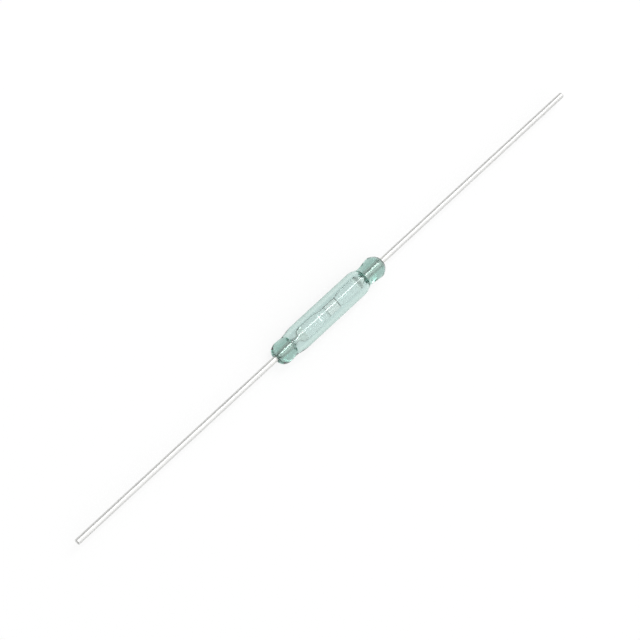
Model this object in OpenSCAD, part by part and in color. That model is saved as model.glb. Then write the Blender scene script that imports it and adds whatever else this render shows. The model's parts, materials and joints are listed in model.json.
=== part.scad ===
// Glass reed switch: two flattened wire reeds sealed in a drawn glass tube, open at rest and
// pulled together by a magnetic field along the tube.
// X runs along the tube, the flats of the reeds face up and down, and the origin is the middle
// of the glass. The left reed lies above the right one.

/* [Glass tube] */
// Length of the glass from end to end
glass_len = 10; // [9.4:0.1:12]
// Outside diameter of the straight tube
tube_d = 1.78; // [1.7:0.02:2]
// Wall of the straight tube
tube_wall = 0.28; // [0.2:0.01:0.3]
// Distance from the end of each neck to the floor of the hollow
floor_gap = 0.2; // [0.05:0.05:0.25]

/* [Left seal] */
// Diameter of the rim around the dish in the end of the glass
left_rim_d = 0.72; // [0.46:0.02:1]
// Depth of the dish around the wire
left_dish_len = 0.1; // [0.02:0.01:0.2]
// Largest diameter of the melted bead
left_bead_d = 1.58; // [1.56:0.02:1.68]
// Diameter of the neck between bead and tube
left_neck_d = 1.52; // [1.36:0.02:1.54]
// Length of the bead's rounded end
left_round_len = 0.62; // [0.4:0.02:0.9]
// Form of the bead's rounded end, from 1 for an ellipse to 2 for a cone
left_cone = 1; // [1:0.1:2]
// Distance from the end of the glass to the crease where bead and neck meet
left_neck_at = 1.05; // [1:0.01:1.3]
// Length of the straight neck
left_neck_len = 0.05; // [0.05:0.05:0.5]
// Length of the shoulder from neck to full tube
left_shoulder_len = 1.06; // [0.5:0.02:1.2]
// How far the glass has crept along the wire into the hollow
left_creep_len = 0.61; // [0.05:0.01:0.8]
// Length over which the hollow opens to its full width
left_dome_len = 0.9; // [0.5:0.05:1.1]

/* [Right seal] */
// Diameter of the rim around the dish in the end of the glass
right_rim_d = 0.76; // [0.46:0.02:1]
// Depth of the dish around the wire
right_dish_len = 0.03; // [0.02:0.01:0.2]
// Largest diameter of the melted bead
right_bead_d = 1.58; // [1.52:0.02:1.68]
// Diameter of the neck between bead and tube
right_neck_d = 1.36; // [1.2:0.02:1.5]
// Length of the bead's rounded end
right_round_len = 0.56; // [0.4:0.02:0.9]
// Form of the bead's rounded end, from 1 for an ellipse to 2 for a cone
right_cone = 1.4; // [1:0.1:2]
// Distance from the end of the glass to the crease where bead and neck meet
right_neck_at = 1.35; // [1.2:0.05:1.5]
// Length of the straight neck
right_neck_len = 0.2; // [0.05:0.05:0.5]
// Length of the shoulder from neck to full tube
right_shoulder_len = 0.8; // [0.5:0.05:1.1]
// How far the glass has crept along the wire into the hollow
right_creep_len = 0.1; // [0.05:0.05:0.8]
// Length over which the hollow opens to its full width
right_dome_len = 0.65; // [0.3:0.05:1.1]

/* [Leads] */
// Diameter of a tinned lead
lead_d = 0.42; // [0.36:0.01:0.46]
// Thickness of the tin on the wire
tin_t = 0.01; // [0.005:0.005:0.02]
// Bare wire between the glass and the tin
bare_len = 0.4; // [0.2:0.1:1]
// Length over which the tin thins out
tin_fade_len = 0.8; // [0.6:0.1:1.5]
// Length of the left lead outside the glass
left_lead_len = 17.8; // [10:0.1:24]
// Length of the right lead outside the glass
right_lead_len = 18.8; // [10:0.1:24]

/* [Reeds] */
// Length of the root, where the round wire is pressed flat
root_len = 0.65; // [0.4:0.05:0.8]
// Length over which the pressed wire reaches its full width, at most the root's
flare_len = 0.35; // [0.25:0.05:0.4]
// Length of the thin springing part
spring_len = 1.1; // [0.8:0.05:1.3]
// Width of the thin springing part
spring_w = 0.98; // [0.8:0.02:1.02]
// Thickness of the thin springing part
spring_t = 0.13; // [0.1:0.01:0.16]
// Length over which the spring narrows to the contact
narrow_len = 0.6; // [0.3:0.05:0.8]
// Length of the contact from the end of the narrowing to the tip
contact_len = 1.45; // [1.2:0.05:1.6]
// Width of the contact
contact_w = 0.74; // [0.5:0.02:0.8]
// Thickness of the contact
contact_t = 0.18; // [0.14:0.01:0.22]
// Length of the coined step from the thin spring up to the thick contact
step_len = 0.16; // [0.1:0.02:0.3]
// Radius of the corners at the tip
tip_r = 0.1; // [0.04:0.02:0.2]
// Radius of the long edges of a reed
edge_r = 0.03; // [0.01:0.01:0.04]
// Gap between the open contacts
contact_gap = 0.06; // [0.03:0.01:0.1]

/* [Hidden] */
$fn = 96;

// Steps in each curve of the glass, in a root, in each curve along a reed and in each rounded edge of a reed
glass_steps = 12;
root_steps = 13;
reed_steps = 6;
edge_steps = 4;

wire_d = lead_d - 2 * tin_t;
// How far the pressed root reaches back into the round wire, and how much slimmer it starts there
root_lap = 0.05;
root_step = 0.006;
// How much thinner the bevelled tip ends than the contact
tip_fall = min(tip_r, contact_t / 2);
// Height of a reed's middle plane above the axis
reed_z = (contact_gap + contact_t) / 2;
// Distance from each end of the glass to the end of its neck, and length of solid glass on each wire
left_neck_end = left_neck_at + left_neck_len;
right_neck_end = right_neck_at + right_neck_len;
left_seal_len = left_neck_end + floor_gap + left_creep_len;
right_seal_len = right_neck_end + floor_gap + right_creep_len;
// Places along X where the hollow ends on each wire, and where each reed starts
left_root_x = left_seal_len - glass_len / 2;
right_root_x = glass_len / 2 - right_seal_len;

// Value on a smooth S from a to b, with t from 0 to 1
function ease(a, b, t) = a + (b - a) * (1 - cos(180 * t)) / 2;

// Points [radius, x] of a smooth S from one point up to but not including the next
function curve(from, to) = [
    for (i = [0 : glass_steps - 1])
        let (t = i / glass_steps)
            [ease(from[0], to[0], t), from[1] + (to[1] - from[1]) * t]
];

// Points [radius, x] of a rounded corner: a quarter of an ellipse at power 1, a straight slope at power 2
function quarter(from, to, power = 1) = [
    for (i = [0 : glass_steps - 1])
        let (turn = 90 * i / glass_steps)
            [
                from[0] + (to[0] - from[0]) * pow(sin(turn), power),
                from[1] + (to[1] - from[1]) * (1 - pow(cos(turn), power))
            ]
];

// Points [radius, x] of a bead's back, from its largest diameter to the crease at the neck
function bead_back(crest, neck) = [
    for (i = [0 : glass_steps - 1])
        let (t = i / glass_steps)
            [neck[0] + (crest[0] - neck[0]) * cos(90 * t), crest[1] + (neck[1] - crest[1]) * t]
];

// Points [radius, x] of the glass that has crept along the wire, from its tip to the floor of the hollow
function creep(tip, bottom) = [
    for (i = [0 : glass_steps - 1])
        let (t = i / glass_steps)
            [tip[0] + (bottom[0] - tip[0]) * t, bottom[1] + (tip[1] - bottom[1]) * pow(1 - t, 2)]
];

// Outside of one end of the glass, from the wire to the full tube, with x counted from that end
function outer_end(rim_d, dish_len, bead_d, neck_d, round_len, cone, neck_at, neck_end, shoulder_len) =
    let (
        dish = [wire_d / 2, dish_len],
        rim = [rim_d / 2, 0],
        crest = [bead_d / 2, round_len],
        crease = [neck_d / 2, neck_at],
        neck = [neck_d / 2, neck_end],
        tube = [tube_d / 2, neck_end + shoulder_len]
    )
        concat(
            [dish],
            quarter(rim, crest, cone),
            bead_back(crest, crease),
            [crease],
            curve(neck, tube),
            [tube]
        );

// Inside of one end of the glass, from the wire to the full hollow, with x counted from that end.
// The hollow ends in a ring-shaped trough between the crept glass and the wall.
function inner_end(neck_d, neck_end, creep_len, dome_len) =
    let (
        floor_x = neck_end + floor_gap,
        tip = [wire_d / 2, floor_x + creep_len],
        bottom = [(wire_d + neck_d) / 4 - tube_wall / 2, floor_x],
        hollow = [tube_d / 2 - tube_wall, floor_x + dome_len]
    )
        concat(creep(tip, bottom), quarter(bottom, hollow), [hollow]);

// Points of one end put at the left or the right end of the glass
function at_left(points) = [for (p = points) [p[0], p[1] - glass_len / 2]];
function at_right(points) = [for (p = points) [p[0], glass_len / 2 - p[1]]];
function reversed(points) = [for (i = [len(points) - 1 : -1 : 0]) points[i]];

// Section of a wire or reed at x: width w, thickness t, edges of radius r, middle at height z
function section(x, w, t, r, z) =
    let (corner_r = r / cos(45 / edge_steps))
        [
            for (corner = [0 : 3], i = [0 : edge_steps - 1])
                let (
                    turn = 90 - 90 * (corner + (i + 0.5) / edge_steps),
                    y_side = corner < 2 ? 1 : -1,
                    z_side = corner == 0 || corner == 3 ? 1 : -1
                )
                    [
                        x,
                        y_side * (w / 2 - r) + corner_r * cos(turn),
                        z + z_side * (t / 2 - r) + corner_r * sin(turn)
                    ]
        ];

// Solid through a row of sections
module loft(sections) {
    size = len(sections[0]);
    last = len(sections) - 1;
    points = [for (s = sections, p = s) p];
    sides = [
        for (k = [0 : last - 1], i = [0 : size - 1])
            let (j = (i + 1) % size, a = k * size, b = a + size)
                each [[a + i, a + j, b + j], [a + i, b + j, b + i]]
    ];
    polyhedron(
        points = points,
        faces = concat(sides, [[for (i = [size - 1 : -1 : 0]) i]], [[for (i = [0 : size - 1]) last * size + i]]),
        convexity = 4
    );
}

// Sections of the root, which turns the round wire into the flat spring
round_d = wire_d - 2 * root_step;
root_sections = concat(
    [section(-root_lap, round_d, round_d, round_d / 2, 0)],
    [
        for (i = [0 : root_steps])
            let (t = i / root_steps)
                section(
                    root_len * t,
                    ease(round_d, spring_w, min(1, root_len * t / flare_len)),
                    ease(round_d, spring_t, t),
                    ease(round_d / 2, edge_r, t),
                    ease(0, reed_z, t)
                )
    ]
);

// Sections of the free reed, from its root to its tip
narrow_x = root_len + spring_len;
tip_x = narrow_x + narrow_len + contact_len;
reed_sections = concat(
    [section(root_len, spring_w, spring_t, edge_r, reed_z)],
    [
        for (i = [0 : reed_steps])
            let (t = i / reed_steps, x = narrow_len * t, up = (x - narrow_len / 2) / step_len + 0.5)
                section(
                    narrow_x + x,
                    ease(spring_w, contact_w, t),
                    ease(spring_t, contact_t, min(1, max(0, up))),
                    edge_r,
                    reed_z
                )
    ],
    [
        for (i = [0 : reed_steps])
            let (turn = 90 * i / reed_steps)
                section(
                    tip_x - tip_r + tip_r * sin(turn),
                    contact_w - 2 * tip_r * (1 - cos(turn)),
                    contact_t - tip_fall * sin(turn),
                    edge_r,
                    reed_z
                )
    ]
);

// Puts a reed or lead, made from x = 0 at the end of its seal, in its place in the switch
module on_left() { translate([left_root_x, 0, 0]) children(); }
module on_right() { translate([right_root_x, 0, 0]) rotate([0, 180, 0]) children(); }

// One lead: tinned wire, the bare wire in its seal and the root of the reed
module lead(seal_len, lead_len) {
    bare_x = -seal_len - bare_len;
    tin_x = bare_x - tin_fade_len;
    end_x = -seal_len - lead_len;
    rotate([0, 90, 0])
        rotate_extrude()
            polygon([
                [0, end_x],
                [lead_d / 2, end_x],
                [lead_d / 2, tin_x],
                [wire_d / 2, bare_x],
                [wire_d / 2, 0],
                [0, 0]
            ]);
    loft(root_sections);
}

module glass_envelope() {
    left_outer = outer_end(
        left_rim_d, left_dish_len, left_bead_d, left_neck_d,
        left_round_len, left_cone, left_neck_at, left_neck_end, left_shoulder_len
    );
    right_outer = outer_end(
        right_rim_d, right_dish_len, right_bead_d, right_neck_d,
        right_round_len, right_cone, right_neck_at, right_neck_end, right_shoulder_len
    );
    left_inner = inner_end(left_neck_d, left_neck_end, left_creep_len, left_dome_len);
    right_inner = inner_end(right_neck_d, right_neck_end, right_creep_len, right_dome_len);
    color([0.72, 0.86, 0.8, 0.4])
        rotate([0, 90, 0])
            rotate_extrude()
                polygon(concat(
                    at_left(left_outer),
                    reversed(at_right(right_outer)),
                    at_right(right_inner),
                    reversed(at_left(left_inner))
                ));
}

module left_lead() { color([0.82, 0.82, 0.8]) on_left() lead(left_seal_len, left_lead_len); }

module right_lead() { color([0.82, 0.82, 0.8]) on_right() lead(right_seal_len, right_lead_len); }

module left_reed() { color([0.7, 0.71, 0.7]) on_left() loft(reed_sections); }

module right_reed() { color([0.7, 0.71, 0.7]) on_right() loft(reed_sections); }

glass_envelope();
left_lead();
right_lead();
left_reed();
right_reed();
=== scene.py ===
"""Looks of the glass reed switch: green glass, tinned wires and pressed nickel-iron reeds in a light tent."""
import json
import math
from collections import namedtuple

import bpy
from mathutils import Matrix, Vector


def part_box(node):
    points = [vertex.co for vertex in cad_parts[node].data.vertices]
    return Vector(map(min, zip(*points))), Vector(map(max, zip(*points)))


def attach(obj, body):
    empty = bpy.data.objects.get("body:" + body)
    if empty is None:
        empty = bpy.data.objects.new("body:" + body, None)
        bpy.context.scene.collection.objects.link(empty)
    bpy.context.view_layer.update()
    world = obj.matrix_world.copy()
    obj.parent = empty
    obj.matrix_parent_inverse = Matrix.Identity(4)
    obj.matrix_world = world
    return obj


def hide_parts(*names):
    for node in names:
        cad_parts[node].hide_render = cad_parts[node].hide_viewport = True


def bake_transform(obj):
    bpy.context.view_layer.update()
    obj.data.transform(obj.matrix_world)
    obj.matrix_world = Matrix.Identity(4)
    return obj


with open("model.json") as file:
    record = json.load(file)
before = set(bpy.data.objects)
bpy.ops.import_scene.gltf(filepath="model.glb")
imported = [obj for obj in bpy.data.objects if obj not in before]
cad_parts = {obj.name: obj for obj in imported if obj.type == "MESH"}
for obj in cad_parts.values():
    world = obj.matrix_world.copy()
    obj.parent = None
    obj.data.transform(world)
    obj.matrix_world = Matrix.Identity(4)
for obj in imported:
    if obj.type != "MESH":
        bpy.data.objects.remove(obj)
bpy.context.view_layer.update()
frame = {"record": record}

# Sizes are in millimetres until a mesh is made, and every place is in the frame's own axes
MM = 0.001
GLASS_LOW, GLASS_HIGH = (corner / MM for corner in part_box("glass_envelope"))
LEFT_LEAD_LOW, LEFT_LEAD_HIGH = (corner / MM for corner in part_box("left_lead"))
RIGHT_LEAD_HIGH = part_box("right_lead")[1] / MM
REED_LOW, REED_HIGH = (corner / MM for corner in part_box("left_reed"))
MOUNTS = {mount["name"]: mount["dims"] for mount in frame["record"]["mounts"]}

# Glass: one drawn tube, melted onto the wire at each end into a bead with a neck
End = namedtuple("End", "rim_r dish_len bead_r neck_r round_len cone neck_at neck_len shoulder_len "
                        "floor_gap creep_len dome_len")
LEFT_END = End(rim_r=0.36, dish_len=0.10, bead_r=0.79, neck_r=0.76, round_len=0.62, cone=1, neck_at=1.05,
               neck_len=0.05, shoulder_len=1.06, floor_gap=0.20, creep_len=0.61, dome_len=0.90)
RIGHT_END = End(rim_r=0.38, dish_len=0.03, bead_r=0.79, neck_r=0.68, round_len=0.56, cone=1.4, neck_at=1.35,
                neck_len=0.20, shoulder_len=0.80, floor_gap=0.20, creep_len=0.10, dome_len=0.65)
TUBE_R = MOUNTS["glass_body"]["r_mm"]
TUBE_WALL = 0.28


def neck_end(end):
    """Distance from an end of the glass to the end of its neck."""
    return end.neck_at + end.neck_len


def seal_len(end):
    """Length of solid glass on the wire at one end."""
    return neck_end(end) + end.floor_gap + end.creep_len


# Wires: tinned outside the glass, bare in the seal
LEAD_R = MOUNTS["left_lead_pin"]["r_mm"]
TIN_T = 0.01
WIRE_R = LEAD_R - TIN_T
BARE_LEN = 0.4
TIN_FADE_LEN = 0.8
CUT_BEVEL = 0.035
TIN_STEP = 0.3
TIN_WAVE = 0.0022
# Waves of the tin: how fast each turns along the wire, in radians per millimetre, and where it starts
TIN_WAVES = ((1.9, 0.0), (4.7, 1.0), (0.8, 2.0))
# The glass wets the wire, so its bore is a little tighter than the wire
BORE_BITE = 0.01
BORE_R = WIRE_R - BORE_BITE

# Reeds: the wire pressed flat, wide and thin where it springs, narrow and thick at the contact
ROOT_LEN = LEFT_LEAD_HIGH.x - GLASS_LOW.x - seal_len(LEFT_END)
FLARE_LEN = 0.35
SPRING_LEN = 1.1
SPRING_W = REED_HIGH.y - REED_LOW.y
SPRING_T = 0.13
NARROW_LEN = 0.6
CONTACT_W = 0.74
CONTACT_T = REED_HIGH.z - REED_LOW.z
STEP_LEN = 0.16
REED_Z = (REED_HIGH.z + REED_LOW.z) / 2
REED_LEN = REED_HIGH.x - REED_LOW.x
TIP_R = 0.1
TIP_FALL = CONTACT_T / 2
EDGE_R = 0.03
PLATED_LEN = 1.0
# A face of a reed is part of an edge where its normal leans more than this to the side
EDGE_LEAN = 0.08

# Fineness of the meshes
GLASS_SIDES = 128
GLASS_STEPS = 28
EDGE_STEPS = 16
REED_STEPS = 20
TIP_STEPS = 8
SHARP_ANGLE = math.radians(20)

# Colours, as linear light
TIN = (0.71, 0.71, 0.70)
BARE_WIRE = (0.70, 0.70, 0.68)
SEALED_WIRE = (0.67, 0.66, 0.64)
NICKEL_IRON = (0.76, 0.76, 0.76)
# Painted shade on the side faces of the reeds: dark on the +Y side, which the camera sees, paler on the -Y
# side
DEEP_EDGE_SHADE = (0.33, 0.33, 0.33)
FAINT_EDGE_SHADE = (0.62, 0.62, 0.62)
PLATING = (0.79, 0.75, 0.745)
# Colour of a darker band across the reed just before the plated contact
BAND_BEFORE_PLATING = (0.48, 0.49, 0.48)
FLOOR = (0.90, 0.90, 0.90)
FLOOR_WHITE = 0.85
FLOOR_WHITE_THROUGH_GLASS = 0.78
FLAG = (0.02, 0.02, 0.02)

# Marks in the metals: their length along the wire and across it, in millimetres, and their detail
TIN_CLOUD = (1.5, 0.15, 3)
DRAWN_LINES = (2.0, 0.012, 2)
REED_CLOUD = (0.4, 0.15, 3)
EDGE_MOTTLE = (0.04, 0.2, 2)
LINE_STRENGTH = 0.05
LINE_DEPTH = 0.002

# Finish of the metals: shares of a colour in its marks, least and most roughness, and what a zone does to it
TIN_DARKEST = 0.92
REED_DARKEST = 0.96
WIRE_ROUGH = (0.32, 0.42)
SEALED_ROUGH_SHARE = 0.75
REED_ROUGH = (0.09, 0.12)
TIP_ROUGH_MORE = 0.4
EDGE_SHADES = (0.85, 1.15)
EDGE_ROUGH = (0.35, 0.45)

# Half widths of the steps between two finishes, and the stretch of darker metal before the plating
SEAL_FADE = 0.03
PLATED_FADE = 0.05
DARK_FROM = 0.25
DARK_TO = 0.02

# Light taken by one millimetre of the glass, for red, green and blue
GLASS_TAKES = (0.59, 0.335, 0.405)
GLASS_SURFACE = (0.91, 0.955, 0.955)
GLASS_IOR = 1.5

# Camera: the photograph's angle, with the right lead pointing away
VIEW_TILT = math.radians(22.2)
VIEW_SIDE = math.radians(8.0)
VIEW_ROLL = math.radians(42.73)
VIEW_DISTANCE = 139.9
VIEW_LENS = 120.8
VIEW_TARGET_X = -0.98
VIEW_SHIFT = 0.10
VIEW_NEAREST = 1


def ease(a, b, t):
    """Value on a smooth S from a to b, with t from 0 to 1."""
    return a + (b - a) * (1 - math.cos(math.pi * t)) / 2


def shares(steps):
    """Shares from 0 up to but not including 1."""
    return [i / steps for i in range(steps)]


# Meshes

def skin(name, rings, ring_closed=False):
    """Mesh object through a row of rings with equal numbers of points, in millimetres. Its ends are capped,
    unless the last ring goes on to the first."""
    size = len(rings[0])
    points = [Vector(p) * MM for ring in rings for p in ring]
    faces = []
    for k in range(len(rings) if ring_closed else len(rings) - 1):
        a = k * size
        b = (k + 1) % len(rings) * size
        for i in range(size):
            j = (i + 1) % size
            faces.append((a + i, a + j, b + j, b + i))
    if not ring_closed:
        faces.append(tuple(reversed(range(size))))
        faces.append(tuple(range(len(points) - size, len(points))))
    mesh = bpy.data.meshes.new(name)
    mesh.from_pydata(points, [], faces)
    mesh.validate()
    mesh.shade_smooth()
    mesh.set_sharp_from_angle(angle=SHARP_ANGLE)
    mesh.update()
    piece = bpy.data.objects.new(name, mesh)
    bpy.context.scene.collection.objects.link(piece)
    return piece


# Glass

def curve(start, stop):
    """Points (x, radius) of a smooth S from one point up to but not including the next."""
    return [(start[0] + (stop[0] - start[0]) * t, ease(start[1], stop[1], t)) for t in shares(GLASS_STEPS)]


def quarter(start, stop, power=1):
    """Points of a rounded corner: a quarter of an ellipse at power 1, a straight slope at power 2."""
    points = []
    for t in shares(GLASS_STEPS):
        turn = math.pi / 2 * t
        points.append((start[0] + (stop[0] - start[0]) * (1 - math.cos(turn) ** power),
                       start[1] + (stop[1] - start[1]) * math.sin(turn) ** power))
    return points


def bead_back(crest, crease):
    """Points of a bead's back, from its largest radius to the crease at the neck."""
    return [(crest[0] + (crease[0] - crest[0]) * t,
             crease[1] + (crest[1] - crease[1]) * math.cos(math.pi / 2 * t)) for t in shares(GLASS_STEPS)]


def creep(tip, bottom):
    """Points of the glass that has crept along the wire, from its tip to the floor of the hollow."""
    return [(bottom[0] + (tip[0] - bottom[0]) * (1 - t) ** 2,
             tip[1] + (bottom[1] - tip[1]) * t) for t in shares(GLASS_STEPS)]


def outer_end(end):
    """Outside of one end of the glass, from the wire to the full tube, with x counted from that end."""
    rim = (0, end.rim_r)
    crest = (end.round_len, end.bead_r)
    crease = (end.neck_at, end.neck_r)
    neck = (neck_end(end), end.neck_r)
    tube = (neck_end(end) + end.shoulder_len, TUBE_R)
    bead = [(end.dish_len, BORE_R)] + quarter(rim, crest, end.cone) + bead_back(crest, crease) + [crease]
    return bead + curve(neck, tube) + [tube]


def inner_end(end):
    """Inside of one end of the glass, from the wire to the full hollow, with x counted from that end."""
    tip = (seal_len(end), BORE_R)
    bottom = (neck_end(end) + end.floor_gap, (WIRE_R + end.neck_r - TUBE_WALL) / 2)
    hollow = (bottom[0] + end.dome_len, TUBE_R - TUBE_WALL)
    return creep(tip, bottom) + quarter(bottom, hollow) + [hollow]


def glass_envelope():
    """The glass as one turned skin."""
    def at_left(points):
        return [(GLASS_LOW.x + x, r) for x, r in points]

    def at_right(points):
        return [(GLASS_HIGH.x - x, r) for x, r in points]

    profile = at_left(outer_end(LEFT_END)) + at_right(outer_end(RIGHT_END))[::-1]
    profile += at_right(inner_end(RIGHT_END)) + at_left(inner_end(LEFT_END))[::-1]
    turns = [2 * math.pi * i / GLASS_SIDES for i in range(GLASS_SIDES)]
    rings = [[(x, r * math.cos(turn), r * math.sin(turn)) for turn in turns] for x, r in profile]
    piece = skin("glass_tube", rings, ring_closed=True)
    piece.data.materials.append(glass_material())
    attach(piece, "switch_body")
    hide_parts("glass_envelope")


# Wires and reeds

def section(x, w, t, r, z):
    """Ring of a wire or reed at x: width w, thickness t, edges of radius r, middle at height z."""
    corner_r = r / math.cos(math.pi / 4 / EDGE_STEPS)
    ring = []
    for corner, (y_side, z_side) in enumerate(((1, 1), (-1, 1), (-1, -1), (1, -1))):
        for i in range(EDGE_STEPS):
            turn = math.pi / 2 * (corner + (i + 0.5) / EDGE_STEPS)
            ring.append((x, y_side * (w / 2 - r) + corner_r * math.cos(turn),
                         z + z_side * (t / 2 - r) + corner_r * math.sin(turn)))
    return ring


def disc(x, r):
    """Ring of a round wire at x."""
    return section(x, 2 * r, 2 * r, r, 0)


def tin_wave(x):
    """How much the tin's thickness differs from its mean at x."""
    return TIN_WAVE * sum(math.sin(turn * x + start) for turn, start in TIN_WAVES) / len(TIN_WAVES)


def lead_sections(sealed, lead_len):
    """Lead from its cut end to the end of its root, with x = 0 at the end of its seal."""
    end_x = -sealed - lead_len
    bare_x = -sealed - BARE_LEN
    tin_x = bare_x - TIN_FADE_LEN
    rings = [disc(end_x, LEAD_R - CUT_BEVEL)]
    steps = round((tin_x - end_x) / TIN_STEP)
    for t in shares(steps):
        x = end_x + CUT_BEVEL + (tin_x - end_x - CUT_BEVEL) * t
        rings.append(disc(x, LEAD_R - TIN_WAVE + tin_wave(x)))
    for t in shares(REED_STEPS):
        rings.append(disc(tin_x + TIN_FADE_LEN * t, ease(LEAD_R - TIN_WAVE, WIRE_R, t)))
    rings.append(disc(bare_x, WIRE_R))
    for t in shares(REED_STEPS) + [1]:
        rings.append(section(ROOT_LEN * t, ease(2 * WIRE_R, SPRING_W, min(1, ROOT_LEN * t / FLARE_LEN)),
                             ease(2 * WIRE_R, SPRING_T, t), ease(WIRE_R, EDGE_R, t), ease(0, REED_Z, t)))
    return rings


def reed_sections():
    """Free reed from its root to its tip, with x = 0 at the end of the seal."""
    narrow_x = ROOT_LEN + SPRING_LEN
    tip_x = ROOT_LEN + REED_LEN
    rings = []
    for t in shares(REED_STEPS):
        rings.append(section(ROOT_LEN + SPRING_LEN * t, SPRING_W, SPRING_T, EDGE_R, REED_Z))
    for t in shares(REED_STEPS) + [1]:
        up = (t - 0.5) * NARROW_LEN / STEP_LEN + 0.5
        rings.append(section(narrow_x + NARROW_LEN * t, ease(SPRING_W, CONTACT_W, t),
                             ease(SPRING_T, CONTACT_T, min(1, max(0, up))), EDGE_R, REED_Z))
    for t in shares(TIP_STEPS) + [1]:
        turn = math.pi / 2 * t
        rings.append(section(tip_x - TIP_R * (1 - math.sin(turn)),
                             CONTACT_W - 2 * TIP_R * (1 - math.cos(turn)),
                             CONTACT_T - TIP_FALL * math.sin(turn), EDGE_R, REED_Z))
    return rings


def placed(rings, end_x, inward):
    """Rings put in the switch: x = 0 goes to end_x, and inward is 1 for the left wire, -1 for the right."""
    return [[(end_x + inward * x, y, inward * z) for x, y, z in ring] for ring in rings]


def mark_distance(piece, tip_x):
    """Gives each point of a wire or reed its distance from the reed's tip, in millimetres."""
    distance = piece.data.attributes.new("from_tip", "FLOAT", "POINT")
    distance.data.foreach_set("value", [abs(v.co.x / MM - tip_x) for v in piece.data.vertices])


def paint_edge_shade(piece, tip_x):
    """Gives the side faces of a reed, and of the flat part of its root, painted shade: a dark material on the
    +Y side and a paler one on the -Y side.
    """
    piece.data.materials.append(edge_material("painted_deep_edge_shade", DEEP_EDGE_SHADE))
    piece.data.materials.append(edge_material("painted_faint_edge_shade", FAINT_EDGE_SHADE))
    flat_len = REED_LEN + ROOT_LEN - FLARE_LEN
    for face in piece.data.polygons:
        if abs(face.center.x / MM - tip_x) < flat_len and abs(face.normal.y) > EDGE_LEAN:
            # Painted shade: the side facing +Y, towards the camera, gets the darker colour
            face.material_index = 1 if face.normal.y > 0 else 2


def wire(side, end, lead_len, end_x, inward):
    """One wire of the switch: its lead, which stays with the glass, and its reed, a piece of its own with its
    place baked into its mesh.
    """
    tip_x = end_x + inward * (ROOT_LEN + REED_LEN)

    lead = skin(side + "_wire", placed(lead_sections(seal_len(end), lead_len), end_x, inward))
    mark_distance(lead, tip_x)
    lead.data.materials.append(wire_material(seal_len(end)))
    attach(lead, "switch_body")
    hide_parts(side + "_lead")

    reed = skin(side + "_blade", placed(reed_sections(), end_x, inward))
    mark_distance(reed, tip_x)
    reed.data.materials.append(reed_material())
    for piece in (lead, reed):
        paint_edge_shade(piece, tip_x)
    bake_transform(reed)
    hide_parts(side + "_reed")


# Materials

def new_material(name):
    """Material with its node tree, its Principled shader and a function that adds a node."""
    material = bpy.data.materials.new(name)
    material.use_nodes = True
    tree = material.node_tree
    shader = tree.nodes["Principled BSDF"]

    def add(kind, **inputs):
        node = tree.nodes.new("ShaderNode" + kind)
        for key, value in inputs.items():
            socket = node.inputs[key.replace("_", " ")]
            if isinstance(value, bpy.types.NodeSocket):
                tree.links.new(value, socket)
            else:
                socket.default_value = value
        return node

    return material, tree, shader, add


def zone(add, start, stop):
    """Socket that goes from 0 to 1 as the distance from the reed's tip goes from start to stop."""
    distance = add("Attribute")
    distance.attribute_name = "from_tip"
    ramp = add("MapRange", Value=distance.outputs["Fac"])
    ramp.inputs["From Min"].default_value = start
    ramp.inputs["From Max"].default_value = stop
    ramp.interpolation_type = "SMOOTHSTEP"
    return ramp.outputs["Result"]


# Sockets of a Mix node that mixes colours
MIX_FIRST = 6
MIX_SECOND = 7
MIX_RESULT = 2


def mixed(add, factor, first, second):
    """Socket with a colour between two colours or sockets."""
    mix = add("Mix")
    mix.data_type = "RGBA"
    tree = mix.id_data
    for key, value in (("Factor", factor), (MIX_FIRST, first), (MIX_SECOND, second)):
        socket = mix.inputs[key]
        if isinstance(value, bpy.types.NodeSocket):
            tree.links.new(value, socket)
        elif isinstance(value, tuple):
            socket.default_value = (*value, 1)
        else:
            socket.default_value = value
    return mix.outputs[MIX_RESULT]


def grain(add, marks):
    """Socket of a noise drawn out along the wire."""
    along, across, detail = marks
    place = add("TexCoord").outputs["Object"]
    stretch = add("Mapping", Vector=place)
    stretch.inputs["Scale"].default_value = (1 / along / MM, 1 / across / MM, 1 / across / MM)
    noise = add("TexNoise", Vector=stretch.outputs["Vector"], Scale=1.0, Detail=detail)
    return noise.outputs["Fac"]


# Where most of a noise lies
NOISE_LOW = 0.3
NOISE_HIGH = 0.7


def ranged(add, noise, low, high):
    """Socket of a noise brought between low and high."""
    ramp = add("MapRange", Value=noise)
    ramp.inputs["From Min"].default_value = NOISE_LOW
    ramp.inputs["From Max"].default_value = NOISE_HIGH
    ramp.inputs["To Min"].default_value = low
    ramp.inputs["To Max"].default_value = high
    return ramp.outputs["Result"]


def glass_material():
    """Clear glass with a green tint that deepens with its thickness."""
    material, tree, shader, add = new_material("green_glass")
    shader.inputs["Base Color"].default_value = (*GLASS_SURFACE, 1)
    shader.inputs["Roughness"].default_value = 0.0
    shader.inputs["IOR"].default_value = GLASS_IOR
    shader.inputs["Transmission Weight"].default_value = 1.0
    most = max(GLASS_TAKES)
    tint = add("VolumeAbsorption", Density=most / MM)
    tint.inputs["Color"].default_value = (*[1 - taken / most for taken in GLASS_TAKES], 1)
    tree.links.new(tint.outputs["Volume"], tree.nodes["Material Output"].inputs["Volume"])
    return material


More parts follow.
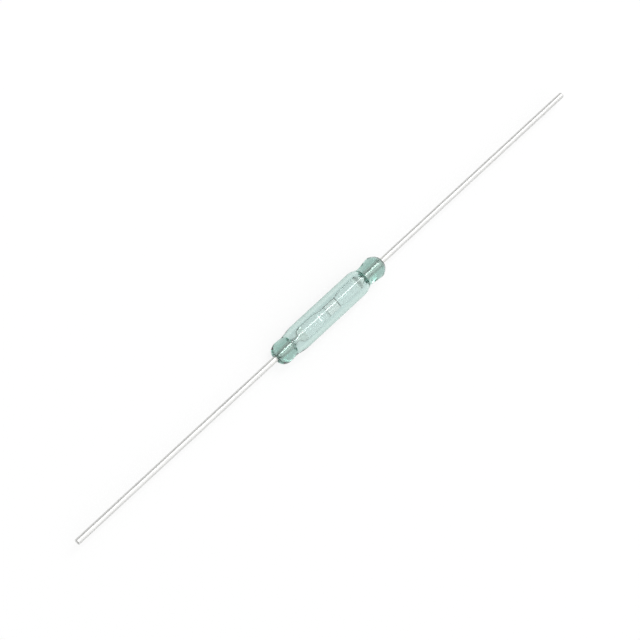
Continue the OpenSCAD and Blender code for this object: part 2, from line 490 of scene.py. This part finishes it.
def wire_material(sealed):
    """Bright tin over drawn wire, bare near the glass, and smoother from the seal inwards."""
    material, tree, shader, add = new_material("tinned_wire")
    seal_in = ROOT_LEN + REED_LEN
    seal_out = seal_in + sealed
    tinned = zone(add, seal_out + BARE_LEN, seal_out + BARE_LEN + TIN_FADE_LEN)
    cloud = grain(add, TIN_CLOUD)
    lines = grain(add, DRAWN_LINES)
    tin = mixed(add, ranged(add, cloud, 0, 1), tuple(TIN_DARKEST * c for c in TIN), TIN)
    sealed_out = zone(add, seal_out + SEAL_FADE, seal_out - SEAL_FADE)
    sealed_in = zone(add, seal_in + SEAL_FADE, seal_in - SEAL_FADE)
    bare = mixed(add, sealed_in, mixed(add, sealed_out, BARE_WIRE, SEALED_WIRE), BARE_WIRE)
    share = add("MapRange", Value=sealed_out)
    share.inputs["To Min"].default_value = 1.0
    share.inputs["To Max"].default_value = SEALED_ROUGH_SHARE
    tree.links.new(mixed(add, tinned, bare, tin), shader.inputs["Base Color"])
    rough = add("Math")
    rough.operation = "MULTIPLY"
    tree.links.new(ranged(add, cloud, *WIRE_ROUGH), rough.inputs[0])
    tree.links.new(share.outputs["Result"], rough.inputs[1])
    tree.links.new(rough.outputs[0], shader.inputs["Roughness"])
    shader.inputs["Metallic"].default_value = 1.0
    bump = add("Bump", Height=lines, Strength=LINE_STRENGTH)
    bump.inputs["Distance"].default_value = LINE_DEPTH * MM
    tree.links.new(bump.outputs["Normal"], shader.inputs["Normal"])
    return material


def reed_material():
    """Satin pressed nickel-iron with a paler plated contact, dull on the bevel of the tip."""
    material, tree, shader, add = new_material("nickel_iron")
    plated = zone(add, PLATED_LEN + PLATED_FADE, PLATED_LEN - PLATED_FADE)
    # Darker band across the reed just before the plating
    edge = zone(add, PLATED_LEN + DARK_FROM, PLATED_LEN + DARK_TO)
    tip = zone(add, TIP_R, TIP_R / 2)
    cloud = grain(add, REED_CLOUD)
    shade = tuple(REED_DARKEST * c for c in NICKEL_IRON)
    iron = mixed(add, ranged(add, cloud, 0, 1), shade, NICKEL_IRON)
    dark = mixed(add, edge, iron, BAND_BEFORE_PLATING)
    tree.links.new(mixed(add, plated, dark, PLATING), shader.inputs["Base Color"])
    rough = add("Math")
    rough.operation = "MULTIPLY_ADD"
    rough.inputs[1].default_value = TIP_ROUGH_MORE
    tree.links.new(tip, rough.inputs[0])
    tree.links.new(ranged(add, cloud, *REED_ROUGH), rough.inputs[2])
    tree.links.new(rough.outputs[0], shader.inputs["Roughness"])
    shader.inputs["Metallic"].default_value = 1.0
    return material


def edge_material(name, colour):
    """Side face of a reed in painted shade, darker or paler as given, varied at random in colour and
    roughness.
    """
    material, tree, shader, add = new_material(name)
    mottle = grain(add, EDGE_MOTTLE)
    dark, pale = (tuple(share * c for c in colour) for share in EDGE_SHADES)
    tree.links.new(mixed(add, ranged(add, mottle, 0, 1), dark, pale), shader.inputs["Base Color"])
    tree.links.new(ranged(add, mottle, *EDGE_ROUGH), shader.inputs["Roughness"])
    shader.inputs["Metallic"].default_value = 1.0
    return material


def floor_material():
    """Pale floor that shows white to the camera and through the glass, and keeps the object's shadow."""
    material, tree, shader, add = new_material("floor")
    tree.nodes.remove(shader)
    plain = add("BsdfDiffuse")
    plain.inputs["Color"].default_value = (*FLOOR, 1)
    white = add("Emission")
    path = add("LightPath").outputs
    share = add("Math")
    share.operation = "MULTIPLY"
    share.inputs[1].default_value = FLOOR_WHITE
    tree.links.new(path["Is Camera Ray"], share.inputs[0])
    through = add("Math")
    through.operation = "MULTIPLY_ADD"
    through.inputs[1].default_value = FLOOR_WHITE_THROUGH_GLASS
    tree.links.new(path["Is Transmission Ray"], through.inputs[0])
    tree.links.new(share.outputs[0], through.inputs[2])
    mix = add("MixShader")
    tree.links.new(through.outputs[0], mix.inputs[0])
    tree.links.new(plain.outputs["BSDF"], mix.inputs[1])
    tree.links.new(white.outputs["Emission"], mix.inputs[2])
    tree.links.new(mix.outputs["Shader"], tree.nodes["Material Output"].inputs["Surface"])
    return material


def flag_material():
    """Dull black card."""
    material, _, shader, _ = new_material("flag")
    shader.inputs["Base Color"].default_value = (*FLAG, 1)
    shader.inputs["Roughness"].default_value = 1.0
    return material


# Stage

# Floor and cards, in millimetres
FLOOR_SIDE = 4000
FLOOR_GAP = 0.002
FLAG_R = 220
FLAG_HIGH = 100
FLAG_SPREAD = math.radians(45)
FLAG_SIDES = 24


def flag(name, middle):
    """Upright black card, curved around the switch, that spreads to both sides of the direction middle."""
    turns = [middle + FLAG_SPREAD * (2 * i / FLAG_SIDES - 1) for i in range(FLAG_SIDES + 1)]
    points = [Vector((FLAG_R * math.cos(turn), FLAG_R * math.sin(turn), height)) * MM
              for height in (0, FLAG_HIGH) for turn in turns]
    faces = [(i, i + 1, FLAG_SIDES + 2 + i, FLAG_SIDES + 1 + i) for i in range(FLAG_SIDES)]
    mesh = bpy.data.meshes.new(name)
    mesh.from_pydata(points, [], faces)
    card = bpy.data.objects.new(name, mesh)
    card.data.materials.append(flag_material())
    card.visible_camera = False
    bpy.context.scene.collection.objects.link(card)


def stage():
    """Floor under the tube, and black card at both ends that gives the glass its dark lines."""
    z = GLASS_LOW.z - FLOOR_GAP
    half = FLOOR_SIDE / 2
    corners = ((-half, -half), (half, -half), (half, half), (-half, half))
    mesh = bpy.data.meshes.new("floor")
    mesh.from_pydata([Vector((x, y, z)) * MM for x, y in corners], [], [(0, 1, 2, 3)])
    floor = bpy.data.objects.new("floor", mesh)
    floor.data.materials.append(floor_material())
    bpy.context.scene.collection.objects.link(floor)

    flag("far_flag", 0)
    flag("near_flag", math.pi)


def area_lamp(name, place, size, radiance):
    """Rectangular lamp that faces down, with its sides along X and Y."""
    lamp = bpy.data.lights.new(name, "AREA")
    lamp.shape = "RECTANGLE"
    lamp.size, lamp.size_y = (side * MM for side in size)
    lamp.energy = radiance * math.pi * lamp.size * lamp.size_y
    carrier = bpy.data.objects.new(name, lamp)
    carrier.location = Vector(place) * MM
    bpy.context.scene.collection.objects.link(carrier)


# Light: places and sizes in millimetres, and how bright each lamp and the tent look
SKY = 0.61
SKY_SLANT = 0.22
SOFTBOX_Z = 400
SOFTBOX_X = 230
SOFTBOX_SIZE = (940, 1700)
SOFTBOX_RADIANCE = 0.60
STRIP_Z = 350
STRIP_X = 200
STRIP_SIZE = (360, 56)
STRIP_RADIANCE = 7
STRIP_LEAN = math.radians(20.5)
PANEL_PLACE = (-15, -45, 360)
PANEL_SIZE = (70, 110)
PANEL_RADIANCE = 1.2


def light():
    """White tent, paler towards -Y, with a softbox overhead. A strip draws a line along the glass,
    and a small panel lights the step where a reed narrows."""
    world = bpy.data.worlds.new("tent")
    world.use_nodes = True
    tree = world.node_tree
    side = tree.nodes.new("ShaderNodeSeparateXYZ")
    tree.links.new(tree.nodes.new("ShaderNodeTexCoord").outputs["Generated"], side.inputs["Vector"])
    slant = tree.nodes.new("ShaderNodeMath")
    slant.operation = "MULTIPLY_ADD"
    slant.inputs[1].default_value = -SKY_SLANT
    slant.inputs[2].default_value = SKY
    tree.links.new(side.outputs["Y"], slant.inputs[0])
    tree.nodes["Background"].inputs["Color"].default_value = (1, 1, 1, 1)
    tree.links.new(slant.outputs["Value"], tree.nodes["Background"].inputs["Strength"])
    bpy.context.scene.world = world
    area_lamp("softbox", (SOFTBOX_X, 0, SOFTBOX_Z), SOFTBOX_SIZE, SOFTBOX_RADIANCE)
    area_lamp("strip", (STRIP_X, STRIP_Z * math.tan(STRIP_LEAN), STRIP_Z), STRIP_SIZE, STRIP_RADIANCE)
    area_lamp("panel", PANEL_PLACE, PANEL_SIZE, PANEL_RADIANCE)


def camera():
    """Camera above the near lead, turned so that the wire runs up to the right."""
    back = Vector((-math.sin(VIEW_TILT), math.cos(VIEW_TILT) * math.sin(VIEW_SIDE),
                   math.cos(VIEW_TILT) * math.cos(VIEW_SIDE)))
    along = (Vector((1, 0, 0)) - back * back.x).normalized()
    across = back.cross(along)
    right = math.cos(VIEW_ROLL) * along - math.sin(VIEW_ROLL) * across
    up = math.sin(VIEW_ROLL) * along + math.cos(VIEW_ROLL) * across
    eye = (Vector((VIEW_TARGET_X, 0, 0)) - across * VIEW_SHIFT + back * VIEW_DISTANCE) * MM
    turned = Matrix((right, up, back)).transposed().to_4x4()
    lens = bpy.data.cameras.new("camera")
    lens.lens = VIEW_LENS
    lens.clip_start = VIEW_NEAREST * MM
    carrier = bpy.data.objects.new("camera", lens)
    carrier.matrix_world = Matrix.Translation(eye) @ turned
    bpy.context.scene.collection.objects.link(carrier)
    bpy.context.scene.camera = carrier


# How often light may pass through glass or be thrown back by metal
GLASS_BOUNCES = 24
METAL_BOUNCES = 12

camera()
glass_envelope()
wire("left", LEFT_END, GLASS_LOW.x - LEFT_LEAD_LOW.x, GLASS_LOW.x + seal_len(LEFT_END), 1)
wire("right", RIGHT_END, RIGHT_LEAD_HIGH.x - GLASS_HIGH.x, GLASS_HIGH.x - seal_len(RIGHT_END), -1)
stage()
light()

scene = bpy.context.scene
scene.view_settings.view_transform = "Standard"
scene.cycles.max_bounces = GLASS_BOUNCES
scene.cycles.transmission_bounces = GLASS_BOUNCES
scene.cycles.glossy_bounces = METAL_BOUNCES
